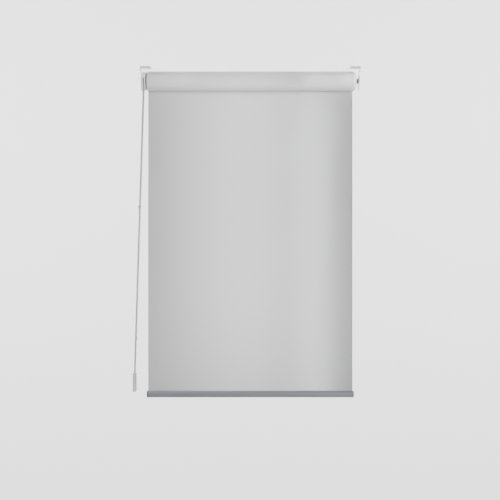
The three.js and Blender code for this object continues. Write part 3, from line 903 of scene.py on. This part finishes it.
def idle_pin():
    """The pin, with a collar that stops it and a thin tail inside its spring."""
    tail_r, collar_r, pin_r = 1.8, 4.6, 2.9
    collar_start, collar_end = 226, 229
    profile = [
        (PIN.x0, 0, 0),
        (PIN.x0, tail_r, 0.5),
        (collar_start, tail_r, 0.2),
        (collar_start, collar_r, 0.3),
        (collar_end, collar_r, 0.3),
        (collar_end, pin_r, 0.2),
        (PIN.x1, pin_r, 1.0),
        (PIN.x1, 0, 0),
    ]
    pin = turned("idle_pin_body", profile, 0.2)
    dressed(pin, "idle_pin", STEEL, "idle_pin")


def idle_bush():
    """The flanged bush in the idle bracket that holds the pin."""
    flange_face = PLATE_INNER - GAP
    flange_r, neck_r = 5.4, 4.2
    profile = [
        (BUSH.x0, PIN_BORE, 0.4),
        (BUSH.x0, flange_r, 0.5),
        (flange_face, flange_r, 0.2),
        (flange_face, neck_r, 0.1),
        (BUSH.x1, neck_r, 0.3),
        (BUSH.x1, PIN_BORE, 0.4),
    ]
    bush = turned("idle_bush_body", profile, 0.2)
    # The dark plastic is partly the bush's own colour and partly painted shade round the pin.
    dressed(bush, "frame", DARK_PLASTIC_AND_SHADE, "idle_bush")


def spring_seat():
    bore, rim = 2.2, 4.9
    seat = turned("spring_seat_ring", rectangle((SEAT.x0, SEAT.x1), (bore, rim)), 0.3)
    dressed(seat, "roller", STEEL, "spring_seat")


roller_tube()
idle_plug()
idle_pin()
idle_bush()
spring_seat()
pin_coil = coil("pin_coil", "pin_spring", 8, 0.5)
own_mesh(pin_coil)


# ----- cloth


def thin_sheet(name, cells):
    """A closed sheet from a grid of front point, back point and place in the flat cut."""
    mesh = bmesh.new()
    layer = mesh.loops.layers.uv.new("cut")
    rows, columns = len(cells), len(cells[0])
    where = {}

    def grid(face):
        made = []
        for line in cells:
            made.append([mesh.verts.new(cell[face]) for cell in line])
            where.update(zip(made[-1], (cell[2] for cell in line)))
        return made

    front, back = grid(0), grid(1)
    join_rows(mesh, front, False, False)
    join_rows(mesh, [line[::-1] for line in back], False, False)
    border = [(0, i) for i in range(columns)]
    border += [(k, columns - 1) for k in range(1, rows)]
    border += [(rows - 1, i) for i in range(columns - 2, -1, -1)]
    border += [(k, 0) for k in range(rows - 2, 0, -1)]
    for (a, b), (c, d) in zip(border, border[1:] + border[:1]):
        mesh.faces.new((front[a][b], back[a][b], back[c][d], front[c][d]))
    for face in mesh.faces:
        for loop in face.loops:
            loop[layer].uv = [value * MM for value in where[loop.vert]]
    bmesh.ops.recalc_face_normals(mesh, faces=mesh.faces)
    bmesh.ops.scale(mesh, vec=(MM, MM, MM), verts=mesh.verts)
    return linked(name, mesh)


def cut_edge(side, along):
    """Where the cloth's cut edge runs, which wanders a little along its length."""
    wander = noise.noise(Vector((side * 7.3, along * 0.035, 0.4)))
    fray = noise.noise(Vector((side * 3.1, along * 0.9, 2.2)))
    return side * (CUT_HALF + 0.2 * wander + 0.04 * fray)


def cloth_drop():
    """The hanging cloth, which cups and ripples a little, and is straight close to the roll."""
    columns, rows = 80, 150
    straight_end, cup_depth = 280, 0.9
    top, bottom = AXIS_Z, DROP.z0
    cells = []
    for k in range(rows + 1):
        z = top + (bottom - top) * k / rows
        fall = top - z
        below_roll = min(1, fall / straight_end)
        free = math.sin(math.pi * k / rows) ** 0.7 * below_roll**2 * (3 - 2 * below_roll)
        low, high = cut_edge(-1, fall), cut_edge(1, fall)
        line = []
        for i in range(columns + 1):
            x = low + (high - low) * i / columns
            cup = cup_depth * abs(x / CLOTH_HALF) ** 5
            ripple = 0.22 * math.sin(x / 31 + 0.5) + 0.18 * math.sin(x / 57 - z / 160)
            y = CLOTH_Y - free * (cup + ripple)
            line.append(((x, y - CLOTH / 2, z), (x, y + CLOTH / 2, z), (x, fall)))
        cells.append(line)
    return thin_sheet("cloth_drop", cells)


def cloth_roll():
    """The cloth on the tube, wound outwards from the groove at the top to the back of the roll."""
    columns, steps_per_turn = 10, 112
    steps = int(ROLL_TURNS * steps_per_turn)
    cells = []
    length = 0
    for k in range(steps + 1):
        angle = TURN * ROLL_TURNS * k / steps
        radius = CLOTH_Y - ROLL_PITCH * angle / TURN
        if k > 0:
            length += radius * TURN * ROLL_TURNS / steps
        low, high = cut_edge(-1, -length), cut_edge(1, -length)
        across, up = math.cos(angle), math.sin(angle)
        faces = (radius + CLOTH / 2, radius - CLOTH / 2)
        line = []
        for i in range(columns + 1):
            x = low + (high - low) * i / columns
            outer, inner = ((x, r * across, AXIS_Z + r * up) for r in faces)
            line.append((outer, inner, (x, -length)))
        cells.append(line)
    return thin_sheet("cloth_roll", cells), length


drop = cloth_drop()
dressed(drop, "frame", CLOTH_LOOK, "fabric_drop")
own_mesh(drop)

roll, ROLL_LENGTH = cloth_roll()
dressed(roll, "roller", CLOTH_LOOK, "fabric_roll")


# ----- bottom bar


def bar_side(side):
    """One face of the bar from the top down: a sloping shoulder, a band and a shadow groove."""
    face = CLOTH_Y + side * (BAR.y1 - BAR.y0) / 2
    shoulder, floor = face - side * 0.8, face - side * 0.9
    crisp = 0.15
    groove_top, groove_bottom = (BAR.z0 + height for height in BAR_GROOVE)
    return [
        (shoulder, BAR.z1, 0.6),
        (face, BAR.z1 - BAR_SHOULDER, 0.8),
        (face, groove_top, crisp),
        (floor, groove_top - crisp, crisp),
        (floor, groove_bottom + crisp, crisp),
        (face, groove_bottom, crisp),
        (face, BAR.z0, BAR_ROUND),
    ]


def around_chamber(half_y, half_z):
    """A rectangle about the middle of the chamber inside the bar."""
    across, up = (CLOTH_Y - half_y, CLOTH_Y + half_y), (CHAMBER_Z - half_z, CHAMBER_Z + half_z)
    return rectangle(across, up)


def bar_profile():
    """The extrusion: a round channel with a slot at the top, and a closed chamber below it."""
    mouth = math.asin(MOUTH_HALF / CHANNEL_R)
    throat = CHANNEL_Z + CHANNEL_R * math.cos(mouth)
    outline = [(CLOTH_Y + MOUTH_HALF, throat, 0), (CLOTH_Y + MOUTH_HALF, BAR.z1, 0.35)]
    outline += bar_side(1) + bar_side(-1)[::-1]
    outline += [(CLOTH_Y - MOUTH_HALF, BAR.z1, 0.35), (CLOTH_Y - MOUTH_HALF, throat, 0)]
    outside = rounded(outline, 0, 6)
    start = math.pi / 2 + mouth
    outside += arc(CHANNEL_R, CLOTH_Y, CHANNEL_Z, start, start + TURN - 2 * mouth, 32)[1:-1]
    chamber = rounded(around_chamber(3.1, 2.5), 0.8)
    bar = object_from("bottom_bar_profile", prism([outside, chamber], "X", BAR.x0, BAR.x1))
    dressed(bar, "bottom_bar", BAR_METAL, "bottom_bar")


def bar_cap(name, side, node):
    """An end cap with a peg in the bar's chamber."""
    face = CLOTH_HALF + GAP
    outline = rounded(rectangle((BAR.y0, BAR.y1), (BAR.z0, BAR.z1)), BAR_ROUND, 6)
    cap = object_from(name, prism([outline], "X", face, BAR_CAP.x1))
    softened(cap, 0.45, 3)
    peg = rounded(around_chamber(2.8, 2.2), 0.5)
    joined(cap, prism([peg], "X", BAR_CAP.x0, face + 0.4))
    if side < 0:
        mirrored(cap)
    dressed(cap, "bottom_bar", CAP_PLASTIC, node)


bar_profile()
bar_cap("bar_end_left", -1, "bar_cap_left")
bar_cap("bar_end_right", 1, "bar_cap_right")


# ----- bead chain


def chain_point(side, z):
    """The chain's middle on its front (-1) or back (1) strand, at a height."""
    whole = (AXIS_Z - z) / (AXIS_Z - PULLEY_Z)
    drift = (DRIFT_START_Z - z) / (DRIFT_START_Z - DRIFT_END_Z)
    drift = min(1, max(0, drift))
    y = side * (WHEEL_PITCH_R + (PULLEY_PITCH_R - WHEEL_PITCH_R) * whole)
    return Vector((CHAIN_X + (PULLEY_X - CHAIN_X) * drift, y, z))


def chain_route():
    """The closed loop as closely spaced points, from the front of the wheel over its top."""
    steps = 400
    climb = AXIS_Z - PULLEY_Z
    wheel = arc(WHEEL_PITCH_R, 0, AXIS_Z, math.pi, 0, 60)
    pulley = arc(PULLEY_PITCH_R, 0, PULLEY_Z, 0, -math.pi, 40)
    points = [Vector((CHAIN_X, y, z)) for y, z in wheel]
    points += [chain_point(1, AXIS_Z - climb * k / steps) for k in range(1, steps)]
    points += [Vector((PULLEY_X, y, z)) for y, z in pulley]
    points += [chain_point(-1, PULLEY_Z + climb * k / steps) for k in range(1, steps)]
    return points


def distances(points):
    """How far each point of a closed line is from the next one."""
    return [(after - here).length for here, after in zip(points, points[1:] + points[:1])]


def along_loop(points, count):
    """Places and directions at equal steps round a closed line."""
    lengths = distances(points)
    step = sum(lengths) / count
    made = []
    k, covered = 0, 0.0
    for n in range(count):
        target = (n + 0.5) * step
        while covered + lengths[k] < target:
            covered += lengths[k]
            k += 1
        here, there = points[k], points[(k + 1) % len(points)]
        place = here.lerp(there, (target - covered) / lengths[k])
        made.append((place, (there - here).normalized()))
    return made


def turned_about(mesh, profile, place, direction, sides):
    """A closed profile of (height, radius) points turned about a direction, added to a mesh."""
    basis = direction.to_track_quat("Z", "Y").to_matrix()
    rows = []
    for k in range(sides):
        angle = TURN * k / sides
        row = []
        for height, radius in profile:
            point = Vector((radius * math.cos(angle), radius * math.sin(angle), height))
            row.append(mesh.verts.new(place + basis @ point))
        rows.append(row)
    join_rows(mesh, rows, closed_rows=True, closed_ring=True)


def bead_profile():
    """Half a bead's outline with the short tips that grip the cord, closed along the cord."""
    tip, neck = BEAD_R + 0.35, 0.85
    reach = math.asin(neck / BEAD_R)
    ball = arc(BEAD_R, 0, 0, reach, math.pi - reach, 12)
    return [(tip, CORD_R), (tip, neck), *ball, (-tip, neck), (-tip, CORD_R)]


def bead_chain():
    """Every bead as one piece, and the cord through them."""
    route = chain_route()
    count = round(sum(distances(route)) / BEAD_PITCH)
    profile = bead_profile()
    beads = bmesh.new()
    for place, direction in along_loop(route, count):
        turned_about(beads, profile, place, direction, 16)
    piece = object_from("chain_beads", beads)
    dressed(piece, "frame", SHADED_BEAD_PLASTIC, "bead_chain")
    cord = object_from("chain_cord", sweep(route, CORD_R, 8, True))
    dressed(cord, "frame", CORD, "bead_chain", crease=60)


def chain_clip(name, node, side, z, sides, lower_half):
    """A clip on one strand, turned from the lower half of its profile and that half's mirror."""
    direction = (chain_point(side, z + 10) - chain_point(side, z - 10)).normalized()
    upper_half = [(-height, radius, edge) for height, radius, edge in reversed(lower_half)]
    mesh = bmesh.new()
    profile = rounded(lower_half + upper_half, 0, 5)
    turned_about(mesh, profile, chain_point(side, z), direction, sides)
    dressed(object_from(name, mesh), node, CLIP_PLASTIC, node)


def chain_stop():
    """A two-part ball clip with a parting line round its middle."""
    half = (STOP.z1 - STOP.z0) / 2
    ball_r, line_r = 4.5, 4.25
    lower_half = [
        (-half, 1.4, 0.2),
        (-half, 3.2, 1.0),
        (-0.9, ball_r, 1.4),
        (-0.2, ball_r, 0.1),
        (-0.2, line_r, 0.05),
    ]
    chain_clip("chain_stop_clip", "chain_stop", -1, STOP.z, 64, lower_half)


def chain_connector():
    """A barrel that the chain's two ends click into, with a waist and two mouths."""
    half = (CONNECTOR.z1 - CONNECTOR.z0) / 2
    barrel_r, waist_r = 3.3, 2.9
    lower_half = [
        (-half, 1.3, 0.2),
        (-half, 2.6, 0.8),
        (-half + 1.4, barrel_r, 0.7),
        (-0.8, barrel_r, 0.5),
        (-0.4, waist_r, 0.2),
    ]
    chain_clip("chain_connector_barrel", "chain_connector", 1, CONNECTOR.z, 48, lower_half)


bead_chain()
chain_stop()
chain_connector()


# ----- chain tensioner


def tensioner_outline(half, top):
    """A plate with a round lower end about the pulley."""
    low = arc(half, 0, PULLEY_Z, math.pi, TURN, 40)
    return low + rounded([low[-1], (half, top, 3), (-half, top, 3), low[0]], 0, 6, False)[1:-1]


def tensioner_base():
    """A hollow shell with a post round the screw hole and a hole for the axle."""
    floor = BASE.x0 + TENSIONER_WALL
    post_r = 4.2
    outline = tensioner_outline(BASE.y1, BASE.z1)
    hollow = tensioner_outline(BASE.y1 - TENSIONER_WALL, BASE.z1 + 8)
    base = object_from("tensioner_shell", prism([outline], "X", BASE.x0, BASE.x1))
    carved(base, prism([hollow], "X", floor, BASE.x1 + 1))
    joined(base, rod(floor - 0.5, BASE.x1, post_r, SCREW_Z, edge=0.3))
    holes = [rod(BASE.x0 - 1, BASE.x1 + 1, HOLE_R, z) for z in (SCREW_Z, PULLEY_Z)]
    carved(base, *holes)
    softened(base, 0.3)
    dressed(base, "frame", WHITE_PLASTIC, "tensioner_base")


def tensioner_cover():
    """The lid, with holes for the screw's head and the axle."""
    head_r = 4
    outline = tensioner_outline(COVER.y1, COVER.z1)
    screw = arc(head_r, 0, SCREW_Z, 0, TURN, 64)[:-1]
    axle = arc(HOLE_R, 0, PULLEY_Z, 0, TURN, 48)[:-1]
    cover = object_from("tensioner_lid", prism([outline, screw, axle], "X", COVER.x0, COVER.x1))
    softened(cover, 0.4, 3)
    dressed(cover, "frame", WHITE_PLASTIC, "tensioner_cover")


def tensioner_axle():
    axle = object_from("tensioner_axle_pin", rod(AXLE.x0, AXLE.x1, 1.9, PULLEY_Z, edge=0.35))
    dressed(axle, "frame", STEEL, "tensioner_axle")


def tensioner_pulley():
    place = (PULLEY.x0, PULLEY.x1, PULLEY_X, PULLEY_Z)
    rim = pocketed_rim(*place, PULLEY_POCKETS, bore=2.25, tooth_r=6.7, phase=-math.pi / 2)
    pulley = object_from("tensioner_wheel", rim)
    dressed(pulley, "tensioner_pulley", WHITE_PLASTIC, "tensioner_pulley")


tensioner_base()
tensioner_cover()
tensioner_axle()
tensioner_pulley()


# ----- carried-over CAD nodes

for node in ("tube_spline", "bar_spline"):
    frame["nodes"][node].data.materials.clear()
    frame["nodes"][node].data.materials.append(DARK_PLASTIC_AND_SHADE)


# ----- studio


def backdrop():
    """A pale floor that curves up into a wall, both well clear of the blind."""
    floor_z, wall_y, bend = -3.0, 3.8, 1.0
    reach = 25
    section = [(-reach, floor_z), (wall_y - bend, floor_z)]
    section += arc(bend, wall_y - bend, floor_z + bend, -math.pi / 2, 0, 16)
    section += [(wall_y, reach)]
    mesh = bmesh.new()
    rows = [[mesh.verts.new((x, y, z)) for y, z in section] for x in (-reach, reach)]
    join_rows(mesh, rows, closed_rows=False, closed_ring=False)
    floor = linked("studio_floor", mesh)
    floor.data.shade_smooth()
    floor.data.materials.append(plain_backdrop())


def area_light(name, place, target, size, power, spread=180, glossy=True):
    """A rectangular lamp that shines at a target and isn't seen itself."""
    light = bpy.data.lights.new(name, "AREA")
    light.shape = "RECTANGLE"
    light.size, light.size_y = size
    light.energy = power
    light.spread = math.radians(spread)
    lamp = bpy.data.objects.new(name, light)
    lamp.location = place
    lamp.rotation_euler = (Vector(target) - Vector(place)).to_track_quat("-Z", "Y").to_euler()
    lamp.visible_camera = False
    lamp.visible_glossy = glossy
    bpy.context.scene.collection.objects.link(lamp)


def facing(name, x, height, distance, size, power, spread):
    """A lamp that shines straight at the blind and doesn't show in its gloss."""
    area_light(name, (x, -distance, height), (x, 0, height), size, power, spread, glossy=False)


def studio():
    """Even light all round, strips in front of the cloth and roll, and a wash on the wall."""
    backdrop()
    level = (cad_low.z + cad_high.z) / 2
    middle = (0, 0, level)
    facing("front_strip", -0.01, level + 0.06, 0.6, (0.14, 0.95), 2.0, 62)
    facing("front_right", 0.148, level - 0.05, 0.6, (0.06, 0.74), 0.13, 12)
    area_light("front_soft", (-0.6, -2.6, level + 0.5), middle, (2.2, 2.2), 12)
    area_light("low_soft", (0.9, -2.0, level - 1.2), middle, (1.6, 1.0), 7)
    area_light("back_soft", (0.6, 2.2, level + 0.9), middle, (1.6, 1.6), 30)
    roll_level = -0.03
    facing("roll_beam_left", -0.21, roll_level, 1.2, (0.16, 0.02), 0.013, 3.5)
    facing("roll_beam_right", 0.21, roll_level, 1.2, (0.16, 0.02), 0.025, 3.5)
    facing("plug_beam", 0.25, roll_level, 1.2, (0.05, 0.02), 0.012, 3.5)
    for name, side in (("wall_wash_left", -1), ("wall_wash_right", 1)):
        area_light(name, (2.5 * side, 0.8, 0.6), (0.6 * side, 3.8, -0.4), (2.5, 2.5), 340)
    world = bpy.data.worlds.new("studio_air")
    world.use_nodes = True
    world.node_tree.nodes["Background"].inputs["Color"].default_value = (0.95, 0.97, 1, 1)
    world.node_tree.nodes["Background"].inputs["Strength"].default_value = 0.33
    bpy.context.scene.world = world


def camera():
    """Square on to the blind and level with its middle, about three metres away."""
    data = bpy.data.cameras.new("front_camera")
    data.lens = 94.4
    data.sensor_width = 36
    eye = bpy.data.objects.new("front_camera", data)
    eye.location = (-0.0007, -3.0, -0.418)
    eye.rotation_euler = (math.pi / 2, 0, 0)
    bpy.context.scene.collection.objects.link(eye)
    bpy.context.scene.camera = eye


studio()
camera()
